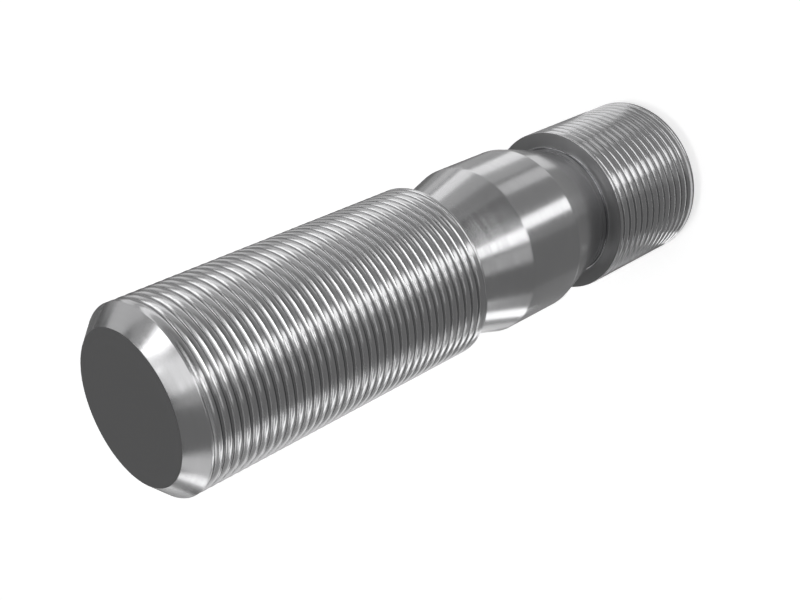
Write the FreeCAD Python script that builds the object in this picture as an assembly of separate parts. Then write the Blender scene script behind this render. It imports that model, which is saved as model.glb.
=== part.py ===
import FreeCAD, Part
import math
import os

# Double end stud, turned from one round bar and standing on its short threaded end.
# The axis is +Z and the origin is the centre of the end face that it stands on.
# Lengths are in millimetres. The thread ridges are too fine for this solid: each
# threaded end is the plain cylinder over its crests.

bar_diameter = 28.0          # outside of both threads and of the collar, all one size
long_end_length = 54.5       # upper threaded end, from its shoulder to the end face
short_end_length = 24.1      # lower threaded end, from its shoulder to the end face
collar_length = 11.2         # plain collar between the two tapers
taper_length = 10.0          # each taper, from the collar down to the neck
neck_length = 1.1            # straight neck between a taper and its thread's shoulder
neck_depth = 2.8             # how far the neck lies below the outside of the bar
end_chamfer = 2.65           # 45 degree lead-in at both end faces
neck_root_radius = 0.4       # rounded corner between the neck and its shoulder
collar_edge_radius = 1.0     # soft edge where a taper meets the collar

bar_radius = bar_diameter / 2
neck_radius = bar_radius - neck_depth
end_face_radius = bar_radius - end_chamfer

# Heights of the steps along the axis, from the face that the stud stands on
short_shoulder = short_end_length
lower_taper_foot = short_shoulder + neck_length
collar_bottom = lower_taper_foot + taper_length
collar_top = collar_bottom + collar_length
upper_taper_foot = collar_top + taper_length
long_shoulder = upper_taper_foot + neck_length
overall_length = long_shoulder + long_end_length

axis_foot = FreeCAD.Vector(0, 0, 0)
axis_direction = FreeCAD.Vector(0, 0, 1)
full_turn = 360


def corner(radius, height, rounding=0.0):
    """A corner of the half section, with the radius that rounds it."""
    return FreeCAD.Vector(radius, 0, height), rounding


def lower_end():
    """End face, lead-in and short threaded end, up to the shoulder."""
    return [
        corner(0, 0),
        corner(end_face_radius, 0),
        corner(bar_radius, end_chamfer),
        corner(bar_radius, short_shoulder),
    ]


def waist():
    """Neck, taper, collar, taper and neck between the two shoulders."""
    root = min(neck_root_radius, neck_length / 2, neck_depth / 2)
    edge = min(collar_edge_radius, collar_length)
    return [
        corner(neck_radius, short_shoulder, root),
        corner(neck_radius, lower_taper_foot),
        corner(bar_radius, collar_bottom, edge),
        corner(bar_radius, collar_top, edge),
        corner(neck_radius, upper_taper_foot),
        corner(neck_radius, long_shoulder, root),
    ]


def upper_end():
    """Long threaded end, lead-in and end face, from the shoulder up."""
    return [
        corner(bar_radius, long_shoulder),
        corner(bar_radius, overall_length - end_chamfer),
        corner(end_face_radius, overall_length),
        corner(0, overall_length),
    ]


def rounded(before, point, after, radius):
    """Arc of this radius that touches both lines meeting at the point."""
    back = (before - point).normalize()
    onward = (after - point).normalize()
    half_angle = back.getAngle(onward) / 2
    setback = radius / math.tan(half_angle)
    inward = (back + onward).normalize()
    crown = point + inward * (radius / math.sin(half_angle) - radius)
    return Part.Arc(point + back * setback, crown, point + onward * setback)


def half_section(corners):
    """Face between the axis and the turned surface, its marked corners rounded."""
    edges = []
    start = corners[0][0]
    count = len(corners)
    for index in range(1, count + 1):
        point, rounding = corners[index % count]
        if rounding > 0:
            before = corners[index - 1][0]
            after = corners[(index + 1) % count][0]
            arc = rounded(before, point, after, rounding)
            edges.append(Part.LineSegment(start, arc.StartPoint).toShape())
            edges.append(arc.toShape())
            start = arc.EndPoint
        else:
            edges.append(Part.LineSegment(start, point).toShape())
            start = point
    return Part.Face(Part.Wire(edges))


def double_end_stud():
    """The whole stud: its half section turned once round the axis."""
    section = half_section(lower_end() + waist() + upper_end())
    return section.revolve(axis_foot, axis_direction, full_turn)


os.makedirs("parts", exist_ok=True)
double_end_stud().exportStep("parts/double_end_stud.step")
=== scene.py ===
import bmesh
import bpy
import math
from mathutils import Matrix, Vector


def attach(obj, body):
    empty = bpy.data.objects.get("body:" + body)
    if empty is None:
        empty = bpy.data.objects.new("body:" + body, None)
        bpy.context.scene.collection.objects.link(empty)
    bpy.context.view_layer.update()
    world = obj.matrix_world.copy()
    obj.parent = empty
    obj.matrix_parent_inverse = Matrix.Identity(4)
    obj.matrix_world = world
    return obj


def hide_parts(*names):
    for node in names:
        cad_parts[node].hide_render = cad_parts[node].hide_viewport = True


# Double end stud of bright turned steel, standing on its short threaded end.
# It is modelled in millimetres about the Z axis and brought down to metres when it is finished.

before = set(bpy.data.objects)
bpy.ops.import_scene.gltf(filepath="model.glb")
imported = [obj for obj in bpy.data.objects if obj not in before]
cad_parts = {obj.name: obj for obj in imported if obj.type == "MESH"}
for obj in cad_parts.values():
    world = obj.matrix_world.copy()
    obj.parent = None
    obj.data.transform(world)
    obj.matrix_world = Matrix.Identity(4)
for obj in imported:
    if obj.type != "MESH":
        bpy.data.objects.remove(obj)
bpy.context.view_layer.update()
print("frame loaded")

mm = 0.001                      # metres

stud = {
    "barRadius": 14.0,          # crests of both threads, and the collar
    "endChamfer": 2.65,         # 45 degree lead-in at both ends
    "shortEndLength": 24.1,     # from the face that it stands on to the short thread's shoulder
    "longEndLength": 54.5,      # from the long thread's shoulder to the top face
    "neckRadius": 11.2,
    "neckLength": 1.1,
    "neckRootRadius": 0.4,
    "taperLength": 10.0,
    "collarLength": 11.2,
    "collarEdgeRadius": 1.0,
    "rimBreak": 0.15,           # deburred edge of the shoulders and end faces
}

# Heights of the steps along the axis, from the face that it stands on
lowRim = stud["endChamfer"]
lowShoulder = stud["shortEndLength"]
lowFoot = lowShoulder + stud["neckLength"]
collarLow = lowFoot + stud["taperLength"]
collarHigh = collarLow + stud["collarLength"]
highFoot = collarHigh + stud["taperLength"]
highShoulder = highFoot + stud["neckLength"]
topFace = highShoulder + stud["longEndLength"]
highRim = topFace - stud["endChamfer"]

shortThread = {
    "bottom": lowRim,
    "top": lowShoulder - stud["rimBreak"],
    "pitch": 1.68,
    "depth": 0.32,
    "runOut": 0.9,              # height over which the groove comes up to its full depth
}

longThread = {
    "bottom": highShoulder + stud["rimBreak"],
    "top": highRim,
    "pitch": 1.5,
    "depth": 0.30,
    "runOut": 0.9,
}

ridge = {
    "points": 10,               # points drawn from one root to the next
    "rootRound": 0.04,          # rounds the bottom of the groove
    "crownPower": 0.50,         # below 1 makes the crest broader
    "spareTurns": 1.5,          # turns drawn beyond each rim, then cut off
}

meshing = {
    "aroundSteps": 144,
    "edgeSteps": 3,             # steps round a broken rim or the collar's soft edge
    "rootSteps": 4,
    "cornerHold": 0.25,         # plain rings this far from a corner keep the flats flat
    "edgeHold": 0.5,            # the same beside the collar's edges and on the end faces
    "footHold": 0.15,           # the same on the neck, beside a taper's foot
    "rimHold": 0.2,             # the same on the lead-in, beside the thread's rim
    "hubRadius": 0.5,           # last ring of an end face before it closes
    "pickWithin": 0.002,        # how near its ring an open edge lies
    "weldWithin": 0.004,        # closes the seams between the thread's turns
    "cutWithin": 0.0005,
    "smoothAngle": 38,          # degrees
}


def clearPick():
    if bpy.context.object and bpy.context.object.mode != "OBJECT":
        bpy.ops.object.mode_set(mode="OBJECT")
    bpy.ops.object.select_all(action="DESELECT")


def singlePoint(name, spot):
    # A mesh of one picked point, left in edit mode to be drawn on
    clearPick()
    bpy.ops.mesh.primitive_plane_add(size=1, location=(0, 0, 0))
    piece = bpy.context.object
    piece.name = name
    bpy.ops.object.mode_set(mode="EDIT")
    bpy.ops.mesh.select_mode(type="VERT")
    bpy.ops.mesh.select_all(action="SELECT")
    bpy.ops.mesh.merge(type="CENTER")
    bpy.ops.mesh.select_all(action="SELECT")
    bpy.ops.transform.translate(value=spot)
    return piece


def onRing(edge, ring):
    # Whether the edge lies on a ring of this radius and height
    radius, height = ring
    near = meshing["pickWithin"]
    return all(abs(end.co.xy.length - radius) < near and abs(end.co.z - height) < near for end in edge.verts)


def pickOpenEdges(piece, ring=None):
    # In edit mode, picks all open edges, or only those on one ring
    bpy.ops.mesh.select_all(action="DESELECT")
    work = bmesh.from_edit_mesh(piece.data)
    for edge in work.edges:
        if edge.is_boundary and (ring is None or onRing(edge, ring)):
            edge.select_set(True)
    bmesh.update_edit_mesh(piece.data)


def turnOn(piece, start, rings, closed=False):
    # Pulls the surface on from its open edge at the start, through rings of a radius and a height
    bpy.ops.object.mode_set(mode="EDIT")
    pickOpenEdges(piece, start)
    radius, height = start
    for nextRadius, nextHeight in rings:
        lift = (0, 0, nextHeight - height)
        share = nextRadius / radius
        bpy.ops.mesh.extrude_region_move(TRANSFORM_OT_translate={"value": lift})
        bpy.ops.transform.resize(value=(share, share, 1), center_override=(0, 0, 0))
        radius, height = nextRadius, nextHeight
    if closed:
        bpy.ops.mesh.merge(type="CENTER")
    bpy.ops.object.mode_set(mode="OBJECT")


def ridgeShare(along):
    # 0 at the root of the groove, 1 at the crest
    soft = ridge["rootRound"]
    wave = math.sqrt(math.sin(math.pi * along) ** 2 + soft ** 2) - soft
    return (wave / (math.sqrt(1 + soft ** 2) - soft)) ** ridge["crownPower"]


def ridgeSpots(thread):
    # One ridge seen from the side, its points closer together near the roots
    firstHeight = thread["bottom"] - ridge["spareTurns"] * thread["pitch"]
    spots = []
    for index in range(ridge["points"] + 1):
        along = (1 - math.cos(math.pi * index / ridge["points"])) / 2
        sunk = thread["depth"] * (1 - ridgeShare(along))
        spots.append(Vector((stud["barRadius"] - sunk, 0, firstHeight + along * thread["pitch"])))
    return spots


def fadeGroove(sleeve, thread):
    # The groove runs out smoothly before each rim
    bar = stud["barRadius"]
    for point in sleeve.data.vertices:
        spare = min(point.co.z - thread["bottom"], thread["top"] - point.co.z)
        share = max(0.0, min(1.0, spare / thread["runOut"]))
        share = share * share * (3 - 2 * share)
        radius = point.co.xy.length
        wanted = bar - (bar - radius) * share
        point.co.x *= wanted / radius
        point.co.y *= wanted / radius


def threadSleeve(name, thread):
    # One ridge is drawn as a line of points, screwed up the bar and cut off level at both rims
    spots = ridgeSpots(thread)
    sleeve = singlePoint(name, spots[0])
    for here, there in zip(spots, spots[1:]):
        bpy.ops.mesh.extrude_vertices_move(TRANSFORM_OT_translate={"value": there - here})
    bpy.ops.object.mode_set(mode="OBJECT")
    turns = (thread["top"] - thread["bottom"]) / thread["pitch"] + 2 * ridge["spareTurns"]
    screw = sleeve.modifiers.new("screw", "SCREW")
    screw.axis = "Z"
    screw.angle = 2 * math.pi
    screw.screw_offset = thread["pitch"]
    screw.iterations = math.ceil(turns)
    screw.steps = screw.render_steps = meshing["aroundSteps"]
    bpy.ops.object.modifier_apply(modifier="screw")
    bpy.ops.object.mode_set(mode="EDIT")
    bpy.ops.mesh.select_all(action="SELECT")
    bpy.ops.mesh.remove_doubles(threshold=meshing["weldWithin"])
    for height, upwards in ((thread["bottom"], 1), (thread["top"], -1)):
        bpy.ops.mesh.select_all(action="SELECT")
        bpy.ops.mesh.bisect(plane_co=(0, 0, height), plane_no=(0, 0, upwards), clear_inner=True,
                            threshold=meshing["cutWithin"])
    bpy.ops.object.mode_set(mode="OBJECT")
    fadeGroove(sleeve, thread)
    return sleeve


def roundCorner(before, point, after, radius, steps):
    # Points of the arc that touches both lines meeting at the point
    back = (Vector(before) - Vector(point)).normalized()
    onward = (Vector(after) - Vector(point)).normalized()
    half = back.angle(onward) / 2
    start = Vector(point) + back * radius / math.tan(half)
    middle = Vector(point) + (back + onward).normalized() * radius / math.sin(half)
    spoke = start - middle
    turn = math.pi - 2 * half
    if back.x * onward.y - back.y * onward.x > 0:
        turn = -turn
    arc = []
    for index in range(steps + 1):
        angle = turn * index / steps
        arc.append((
            middle.x + spoke.x * math.cos(angle) - spoke.y * math.sin(angle),
            middle.y + spoke.x * math.sin(angle) + spoke.y * math.cos(angle),
        ))
    return arc


def waistRings():
    # From the short thread's rim to the foot of the long thread's shoulder
    bar = stud["barRadius"]
    neck = stud["neckRadius"]
    root = stud["neckRootRadius"]
    edge = stud["collarEdgeRadius"]
    slope = (bar - neck) / stud["taperLength"]
    hold = meshing["cornerHold"]
    wide = meshing["edgeHold"]
    foot = meshing["footHold"]
    edgeSteps = meshing["edgeSteps"]
    rootSteps = meshing["rootSteps"]
    rings = brokenEdge(lowRim, lowShoulder)
    rings += [(neck + root + hold, lowShoulder)]
    rings += roundCorner((bar, lowShoulder), (neck, lowShoulder), (neck, lowFoot), root, rootSteps)
    rings += [(neck, lowFoot - foot), (neck, lowFoot), (neck + slope * hold, lowFoot + hold)]
    rings += [(bar - slope * wide, collarLow - wide)]
    rings += roundCorner((neck, lowFoot), (bar, collarLow), (bar, collarHigh), edge, edgeSteps)
    rings += [(bar, collarLow + wide), (bar, collarHigh - wide)]
    rings += roundCorner((bar, collarLow), (bar, collarHigh), (neck, highFoot), edge, edgeSteps)
    rings += [(bar - slope * wide, collarHigh + wide)]
    rings += [(neck + slope * hold, highFoot - hold), (neck, highFoot), (neck, highFoot + foot)]
    rings += roundCorner((neck, highFoot), (neck, highShoulder), (bar, highShoulder), root, rootSteps)
    rings += [(neck + root + hold, highShoulder)]
    return rings


def brokenEdge(rim, shoulder):
    # The deburred edge where a threaded end meets its shoulder, past the ring where the sleeve stops
    bar = stud["barRadius"]
    neck = stud["neckRadius"]
    arc = roundCorner((bar, rim), (bar, shoulder), (neck, shoulder), stud["rimBreak"], meshing["edgeSteps"])
    return arc[1:]


def endRings(rim, face):
    # Lead-in and end face, from the thread's rim to the middle
    bar = stud["barRadius"]
    edge = bar - stud["endChamfer"]
    towardsFace = math.copysign(meshing["rimHold"], face - rim)
    rings = [(bar - meshing["rimHold"], rim + towardsFace)]
    rings += roundCorner((bar, rim), (edge, face), (0, face), stud["rimBreak"], meshing["edgeSteps"])
    rings += [(edge - meshing["edgeHold"], face), (edge / 2, face), (meshing["hubRadius"], face)]
    return rings


def makeLowerHalf():
    # Short threaded end, and on through the waist
    bar = stud["barRadius"]
    lower = threadSleeve("doubleEndStud", shortThread)
    turnOn(lower, (bar, lowRim), endRings(lowRim, 0.0), closed=True)
    turnOn(lower, (bar, shortThread["top"]), waistRings())
    print("short thread and waist made")
    return lower


def makeUpperHalf():
    # Long threaded end, down to the broken edge of its shoulder
    bar = stud["barRadius"]
    upper = threadSleeve("upperEnd", longThread)
    turnOn(upper, (bar, highRim), endRings(highRim, topFace), closed=True)
    turnOn(upper, (bar, longThread["bottom"]), brokenEdge(highRim, highShoulder))
    print("long thread made")
    return upper


def makeStud():
    # Both halves are joined, bridged across the long thread's shoulder and brought down to metres
    whole = makeLowerHalf()
    upper = makeUpperHalf()
    clearPick()
    upper.select_set(True)
    whole.select_set(True)
    bpy.context.view_layer.objects.active = whole
    bpy.ops.object.join()
    bpy.ops.object.mode_set(mode="EDIT")
    bpy.ops.mesh.select_mode(type="EDGE")
    pickOpenEdges(whole)
    bpy.ops.mesh.bridge_edge_loops()
    bpy.ops.mesh.select_all(action="SELECT")
    bpy.ops.mesh.normals_make_consistent(inside=False)
    bpy.ops.object.mode_set(mode="OBJECT")
    whole.scale = (mm, mm, mm)  # scaled as an object, because a resize in edit mode rounds fine points
    bpy.ops.object.transform_apply(location=False, rotation=False, scale=True)
    bpy.ops.object.shade_smooth_by_angle(angle=math.radians(meshing["smoothAngle"]))
    return whole


def linearColour(hexText):
    # sRGB hex to linear, by the standard's own curve
    channels = [int(hexText[at:at + 2], 16) / 255 for at in (1, 3, 5)]
    return [c / 12.92 if c <= 0.04045 else ((c + 0.055) / 1.055) ** 2.4 for c in channels] + [1.0]


def addNode(tree, kind, settings=None, links=None):
    # Adds a node, sets its properties or sockets, and links the sockets that are given
    node = tree.nodes.new(kind)
    for key, value in (settings or {}).items():
        if isinstance(key, str) and hasattr(node, key):
            setattr(node, key, value)
        else:
            node.inputs[key].default_value = value
    for key, source in (links or {}).items():
        tree.links.new(source, node.inputs[key])
    return node


def emptyMaterial(name):
    material = bpy.data.materials.new(name)
    material.use_nodes = True
    material.node_tree.nodes.clear()
    return material


steel = {
    "bright": "#B5B5B6",
    "dull": "#A8A8A9",
    "roughness": (0.17, 0.23),
    "facedRougher": 0.22,       # added to the roughness on faced ends
    "markSpacing": 0.30,        # turning marks in mm; the real feed of about 0.1 is too fine to show
    "markLength": 22.2,         # mm that a mark keeps its look on its way round the bar
    "markDepth": 0.0004,        # mm
    "markDetail": 3.0,
    "markRoughness": 0.6,       # of the noise: how strong its finer marks are
    "noiseSpan": (0.3, 0.7),    # nearly all of the noise lies in here
    "radiusShare": 1.7,         # marks by the radius; at 1 a 45 degree lead-in would have none
    "patchSize": 9.0,           # mm, slow change from bright to dull
    "patchDetail": 2.0,
    "facedAbove": 0.98,         # upright share of a face's normal from which it counts as faced
}

# Painted shade darkens what lies nearest the axis: in full up to the first radius in mm,
# and not at all beyond the second
paintedShade = {
    # painted shade in the thread grooves
    "thread": {"full": 13.72, "none": 13.88, "colour": "#848485"},
    # painted shade in the corners of the shoulders, darkening the fillet's reflection
    "neck": {"full": 11.5, "none": 12.0, "colour": "#767678"},
    # painted shade over the whole end faces
    "face": {"full": 14.5, "none": 15.0, "colour": "#A2A2A3"},     # beyond the bar, so all over the face
}


def turningMarks(tree, flat, radius, height):
    # Marks run round the bar: they change fast along it and across its faces, and slowly round it
    profile = addNode(tree, "ShaderNodeMath", {"operation": "MULTIPLY_ADD", 1: steel["radiusShare"]},
                      {0: radius, 2: height})
    across = addNode(tree, "ShaderNodeMath", {"operation": "MULTIPLY", 1: 1 / (steel["markSpacing"] * mm)},
                     {0: profile.outputs[0]})
    slow = addNode(tree, "ShaderNodeVectorMath",
                   {"operation": "SCALE", "Scale": 1 / (steel["markLength"] * mm)}, {0: flat})
    slowParts = addNode(tree, "ShaderNodeSeparateXYZ", links={0: slow.outputs[0]})
    grain = addNode(tree, "ShaderNodeCombineXYZ",
                    links={0: slowParts.outputs[0], 1: slowParts.outputs[1], 2: across.outputs[0]})
    return addNode(tree, "ShaderNodeTexNoise",
                   {"Scale": 1.0, "Detail": steel["markDetail"], "Roughness": steel["markRoughness"]},
                   {"Vector": grain.outputs[0]}).outputs["Fac"]


def steelColour(tree, place, radius, shadeTint):
    # Broad patches, a little brighter and duller, under the painted shade if there is one
    patches = addNode(tree, "ShaderNodeTexNoise",
                      {"Scale": 1 / (steel["patchSize"] * mm), "Detail": steel["patchDetail"]},
                      {"Vector": place})
    bare = addNode(tree, "ShaderNodeMix",
                   {"data_type": "RGBA", 6: linearColour(steel["bright"]), 7: linearColour(steel["dull"])},
                   {0: patches.outputs["Fac"]})
    if not shadeTint:
        return bare.outputs[2]
    # painted shade: a darker colour mixed in where the radius is small
    sunk = addNode(tree, "ShaderNodeMapRange",
                   {"From Min": shadeTint["full"] * mm, "From Max": shadeTint["none"] * mm, "To Min": 1.0, "To Max": 0.0},
                   {"Value": radius})
    return addNode(tree, "ShaderNodeMix", {"data_type": "RGBA", 7: linearColour(shadeTint["colour"])},
                   {0: sunk.outputs[0], 6: bare.outputs[2]}).outputs[2]


def steelFinish(name, rougher=0.0, shadeTint=None):
    material = emptyMaterial(name)
    tree = material.node_tree
    place = addNode(tree, "ShaderNodeTexCoord").outputs["Object"]
    parts = addNode(tree, "ShaderNodeSeparateXYZ", links={0: place})
    flat = addNode(tree, "ShaderNodeCombineXYZ", links={0: parts.outputs[0], 1: parts.outputs[1]}).outputs[0]
    radius = addNode(tree, "ShaderNodeVectorMath", {"operation": "LENGTH"}, {0: flat}).outputs["Value"]
    marks = turningMarks(tree, flat, radius, parts.outputs[2])
    rough = addNode(tree, "ShaderNodeMapRange",
                    {"From Min": steel["noiseSpan"][0], "From Max": steel["noiseSpan"][1],
                     "To Min": steel["roughness"][0] + rougher, "To Max": steel["roughness"][1] + rougher},
                    {"Value": marks})
    bump = addNode(tree, "ShaderNodeBump", {"Strength": 1.0, "Distance": steel["markDepth"] * mm},
                   {"Height": marks})
    surface = addNode(tree, "ShaderNodeBsdfPrincipled", {"Metallic": 1.0},
                      {"Base Color": steelColour(tree, place, radius, shadeTint),
                       "Roughness": rough.outputs[0], "Normal": bump.outputs[0]})
    addNode(tree, "ShaderNodeOutputMaterial", links={"Surface": surface.outputs[0]})
    return material


# Steel bar turned on a lathe: the eye sees a bright grey mirror blurred a little along fine rings
turnedSteel = steelFinish("brightTurnedSteel")

# Steel thread rolled between dies: round bright crests, with painted shade darkening the thin grooves
threadSteel = steelFinish("threadRolledSteel", shadeTint=paintedShade["thread"])

# Steel faced across its end: duller and more even, since the tool leaves a coarser surface there; its colour
# is darkened all over by painted shade, which keeps the lamps' reflection in it below white
facedSteel = steelFinish("facedSteel", steel["facedRougher"], paintedShade["face"])

# Turned steel in the corner of a shoulder, darkened by painted shade: a thin dark line round the neck
cornerShadeSteel = steelFinish("paintedShadeCornerSteel", shadeTint=paintedShade["neck"])


def finishByPlace(piece):
    # Faced ends, threads, corners with painted shade and the turned rest each take their own finish
    finishes = [turnedSteel, threadSteel, facedSteel, cornerShadeSteel]
    for finish in finishes:
        piece.data.materials.append(finish)
    cornerReach = stud["rimBreak"] + stud["neckRootRadius"]
    for face in piece.data.polygons:
        height = face.center.z / mm
        radius = face.center.xy.length / mm
        onThread = any(thread["bottom"] < height < thread["top"] for thread in (shortThread, longThread))
        pastThread = min(abs(height - shortThread["top"]), abs(longThread["bottom"] - height))
        if abs(face.normal.z) > steel["facedAbove"]:
            finish = facedSteel
        elif onThread:
            finish = threadSteel
        # the shoulders' corners take the painted shade
        elif pastThread < cornerReach and radius < paintedShade["neck"]["none"]:
            finish = cornerShadeSteel
        else:
            finish = turnedSteel
        face.material_index = finishes.index(finish)


studPiece = makeStud()
finishByPlace(studPiece)
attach(studPiece, "root")
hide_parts("double_end_stud")
print("stud finished,", len(studPiece.data.polygons), "faces")


floorSheet = {
    "size": 12.0,
    "colour": "#F4F4F4",
    "lift": 0.60,               # share of the white that camera and reflections see beyond the lamps' light
}


def shownWhite(tree):
    # 1 for rays that show the backdrop: camera, glossy and transmission
    path = addNode(tree, "ShaderNodeLightPath")
    both = addNode(tree, "ShaderNodeMath", {"operation": "MAXIMUM"},
                   {0: path.outputs["Is Camera Ray"], 1: path.outputs["Is Glossy Ray"]})
    return addNode(tree, "ShaderNodeMath", {"operation": "MAXIMUM"},
                   {0: both.outputs[0], 1: path.outputs["Is Transmission Ray"]}).outputs[0]


def makeFloor():
    # A sheet of matt white studio paper, rolled smooth: an even white that keeps the stud's shadow
    clearPick()
    bpy.ops.mesh.primitive_plane_add(size=floorSheet["size"], location=(0, 0, 0))
    floor = bpy.context.object
    floor.name = "studioFloor"
    material = emptyMaterial("whiteStudioPaper")
    tree = material.node_tree
    paper = addNode(tree, "ShaderNodeBsdfDiffuse", {"Color": linearColour(floorSheet["colour"])})
    shown = addNode(tree, "ShaderNodeMath", {"operation": "MULTIPLY", 1: floorSheet["lift"]},
                    {0: shownWhite(tree)})
    glow = addNode(tree, "ShaderNodeEmission", links={"Strength": shown.outputs[0]})
    both = addNode(tree, "ShaderNodeAddShader", links={0: paper.outputs[0], 1: glow.outputs[0]})
    addNode(tree, "ShaderNodeOutputMaterial", links={"Surface": both.outputs[0]})
    floor.data.materials.append(material)


def compass(azimuth, radius, height):
    # A place at this many degrees from the camera's side of the stud, to the right as it looks
    turn = math.radians(azimuth)
    return Vector((math.sin(turn) * radius, -math.cos(turn) * radius, height))


studio = {
    "worldColour": "#FFFFFF",
    "worldLevel": 0.17,
    "aim": (0.0, 0.0, 0.06),
    "lightTheFloor": ["ceilingLight", "frontSoftbox"],
    "hiddenInMetal": ["ceilingLight"],
    # name, azimuth from the camera's side, elevation, distance, width, height, brightness
    "lamps": [
        ("ceilingLight", 0, 90, 1.3, 0.80, 0.80, 3.3),
        ("ceilingSoftbox", 0, 90, 1.3, 0.80, 0.80, 0.65),
        ("frontSoftbox", 18, 62, 1.1, 0.50, 0.36, 1.5),
        ("frontLeftFill", -18, 58, 1.1, 0.36, 0.40, 0.4),
        ("highLeftFill", -62, 54, 1.1, 0.90, 0.60, 0.09),
        ("highRightSoftbox", 70, 62, 1.1, 0.42, 0.36, 1.5),
        ("rightSoftbox", 71, 48, 1.1, 0.29, 0.35, 3.4),
        ("rightFill", 97, 44, 1.1, 0.22, 0.46, 0.4),
        ("backSoftbox", 135, 61, 1.1, 0.29, 0.27, 1.2),
        ("lowFrontSoftbox", 20, 25, 1.1, 0.90, 0.36, 1.3),
        ("frontLeftSoftbox", -14, 16, 1.1, 0.34, 0.50, 0.5),
        ("frontRightSoftbox", 50, 9, 1.1, 0.38, 0.48, 0.7),
        ("lowRightSoftbox", 78, 23, 1.1, 0.54, 0.27, 1.0),
        ("rightHorizonSoftbox", 92, 6, 1.1, 0.62, 0.26, 2.6),
        ("frontHorizonSoftbox", 15, 6, 1.1, 0.84, 0.28, 2.5),
        ("farRightSoftbox", 118, 26, 1.1, 0.64, 0.46, 0.7),
        ("farRightHorizonSoftbox", 132, 7, 1.1, 0.40, 0.26, 0.3),
        ("leftHorizonSoftbox", -84, 3, 1.1, 0.40, 0.24, 1.2),
        ("leftSoftbox", -127, 17, 1.1, 0.22, 0.38, 2.1),
        ("wideLeftSoftbox", -140, 20, 1.1, 0.44, 0.42, 0.25),
        ("farLeftSoftbox", -107, 33, 1.1, 0.46, 0.34, 0.9),
        ("backLeftSoftbox", -155, 8, 1.1, 0.30, 0.20, 1.2),
    ],
}


def makeLamps():
    aim = Vector(studio["aim"])
    for name, azimuth, elevation, distance, width, height, brightness in studio["lamps"]:
        rise = math.radians(elevation)
        back = compass(azimuth, math.cos(rise), math.sin(rise))
        clearPick()
        bpy.ops.object.light_add(type="AREA", location=aim + back * distance)
        lamp = bpy.context.object
        lamp.name = name
        lamp.rotation_euler = (lamp.location - aim).to_track_quat("Z", "Y").to_euler()
        lamp.data.shape = "RECTANGLE"
        lamp.data.size = width
        lamp.data.size_y = height
        lamp.data.energy = brightness * math.pi * width * height
        lamp.visible_camera = False
        lamp.visible_diffuse = name in studio["lightTheFloor"]
        lamp.visible_glossy = name not in studio["hiddenInMetal"]


def makeWorld():
    world = bpy.data.worlds.new("studioWorld")
    bpy.context.scene.world = world
    world.use_nodes = True
    background = world.node_tree.nodes["Background"]
    background.inputs["Color"].default_value = linearColour(studio["worldColour"])
    background.inputs["Strength"].default_value = studio["worldLevel"]


# Cards on the floor around the stud, seen in its reflections only. They lie in three layers.
reflectors = {
    "layerGap": 0.0003,         # height of each layer above the one under it
    "stepDegrees": 4,           # for each straight step of a ring's curved side
    # name, from azimuth, to azimuth, near radius, far radius, brightness
    "sectors": [
        ("leftFlag", -80, -22, 0.016, 1.20, 0.26),
        ("leftBaseFlag", -180, -80, 0.0145, 0.036, 0.22),
        ("leftSideFlag", -150, -80, 0.036, 0.075, 0.32),
        ("leftBackFlag", -165, -80, 0.075, 1.20, 0.47),
        ("backFlag", -180, -165, 0.036, 1.20, 0.20),
        ("frontFlag", -22, 14, 0.016, 1.20, 0.37),
        ("rightFrontFlag", 14, 64, 0.016, 1.20, 0.39),
        ("rightFlag", 64, 86, 0.016, 1.20, 0.66),
        ("rightSideFlag", 86, 103, 0.036, 1.20, 1.8),
        ("rightOuterFlag", 103, 135, 0.036, 4.0, 0.5),
        ("rightBackFlag", 135, 180, 0.036, 4.0, 0.2),
        ("rightBaseFlag", 86, 180, 0.016, 0.036, 0.35),
    ],
    # the same six, for the layer above
    "patches": [
        ("frontDarkCard", 12, 42, 0.16, 0.45, 0.16),
        ("farFrontCard", -3, 30, 0.58, 1.20, 8.0),
        ("farFrontSideCard", 30, 42, 0.58, 1.20, 4.5),
        ("farRightCard", 82, 102, 0.45, 1.20, 3.2),
        ("frontLeftCard", -40, -22, 0.17, 0.30, 0.95),
        ("leftOuterCard", -96, -78, 0.18, 0.30, 1.9),
        ("leftFarCard", -150, -125, 0.075, 1.20, 1.0),
        ("leftFootCard", -92, -76, 0.0150, 0.0205, 1.8),
        ("leftBaseCard", -110, -84, 0.028, 0.040, 0.6),
        ("rightFootCard", 66, 104, 0.0145, 0.028, 1.1),
        ("rightOuterCard", 115, 140, 0.18, 0.45, 1.0),
    ],
    # name, near azimuth, far azimuth, near radius, far radius, near width, far width, brightness
    "strips": [
        ("frontFootStrip", 2, 3, 0.024, 0.038, 0.006, 0.010, 1.4),
        ("frontStrip", 3, 0, 0.038, 0.165, 0.011, 0.032, 2.4),
        ("frontFarStrip", -10, -8, 0.165, 0.34, 0.048, 0.080, 3.0),
        ("frontSideStrip", -9.2, -14, 0.085, 0.115, 0.011, 0.012, 4.4),
        ("frontRightStrip", 50, 50, 0.028, 0.065, 0.010, 0.018, 1.0),
        ("rightStrip", 92, 93, 0.036, 1.20, 0.016, 0.160, 1.5),
        ("rightWideStrip", 115, 115, 0.056, 0.165, 0.012, 0.036, 0.9),
        ("leftNearStrip", -118, -112, 0.056, 0.080, 0.010, 0.014, 1.6),
        ("leftStrip", -110, -103, 0.080, 0.172, 0.014, 0.045, 2.6),
    ],
}


def layCard(card, brightness):
    # Plain matt paper, lit evenly: the metal shows it as one flat tone, and nothing else sees it
    material = emptyMaterial(card.name + "Paper")
    tree = material.node_tree
    glow = addNode(tree, "ShaderNodeEmission", {"Strength": brightness})
    addNode(tree, "ShaderNodeOutputMaterial", links={"Surface": glow.outputs[0]})
    card.data.materials.append(material)
    card.visible_camera = False
    card.visible_diffuse = False
    card.visible_shadow = False
    card.visible_transmission = False
    card.visible_volume_scatter = False


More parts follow.
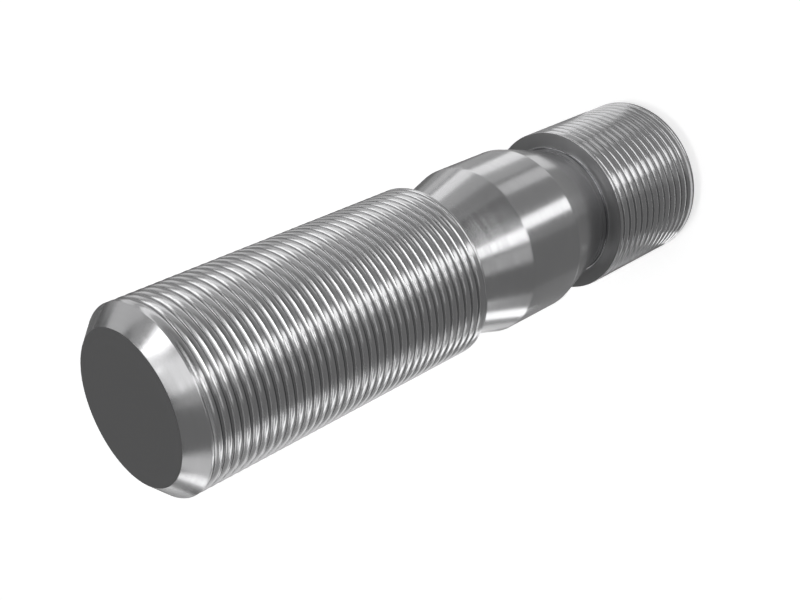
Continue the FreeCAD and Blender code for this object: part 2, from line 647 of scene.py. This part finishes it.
def ringCard(height, name, start, end, near, far, brightness):
    nearCorner = compass(start, near, height)
    farCorner = compass(start, far, height)
    card = singlePoint(name, nearCorner)
    bpy.ops.mesh.extrude_vertices_move(TRANSFORM_OT_translate={"value": farCorner - nearCorner})
    bpy.ops.mesh.select_all(action="SELECT")
    steps = math.ceil((end - start) / reflectors["stepDegrees"])
    bpy.ops.mesh.spin(steps=steps, angle=math.radians(start - end), center=(0, 0, 0), axis=(0, 0, 1))
    bpy.ops.object.mode_set(mode="OBJECT")
    layCard(card, brightness)


def stripCard(height, name, nearTurn, farTurn, near, far, nearWidth, farWidth, brightness):
    clearPick()
    bpy.ops.mesh.primitive_plane_add(size=1, location=(0, 0, 0))
    card = bpy.context.object
    card.name = name
    nearEnd = compass(nearTurn, near, height)
    farEnd = compass(farTurn, far, height)
    out = farEnd - nearEnd
    side = Vector((-out.y, out.x, 0)).normalized()
    for corner in card.data.vertices:
        if corner.co.y < 0:
            corner.co = nearEnd + side * nearWidth * corner.co.x
        else:
            corner.co = farEnd + side * farWidth * corner.co.x
    layCard(card, brightness)


def makeReflectors():
    gap = reflectors["layerGap"]
    for sector in reflectors["sectors"]:
        ringCard(gap, *sector)
    for patch in reflectors["patches"]:
        ringCard(2 * gap, *patch)
    for strip in reflectors["strips"]:
        stripCard(3 * gap, *strip)


makeFloor()
makeLamps()
makeReflectors()
makeWorld()
print("studio set")


cameraView = {
    "place": (0.0, -0.15257, 0.18469),
    "turn": (-28.436, 45.002, -126.566),    # degrees, rolled so that the long end points down and left
    "lens": 56.92,
    "sensor": 36.0,
    "nearest": 0.01,            # metres before the lens from which things show
}

clearPick()
cameraTurn = [math.radians(angle) for angle in cameraView["turn"]]
bpy.ops.object.camera_add(location=cameraView["place"], rotation=cameraTurn)
camera = bpy.context.object
camera.data.lens = cameraView["lens"]
camera.data.sensor_width = cameraView["sensor"]
camera.data.clip_start = cameraView["nearest"]
bpy.context.scene.camera = camera
bpy.context.scene.view_settings.view_transform = "Standard"
print("camera set")
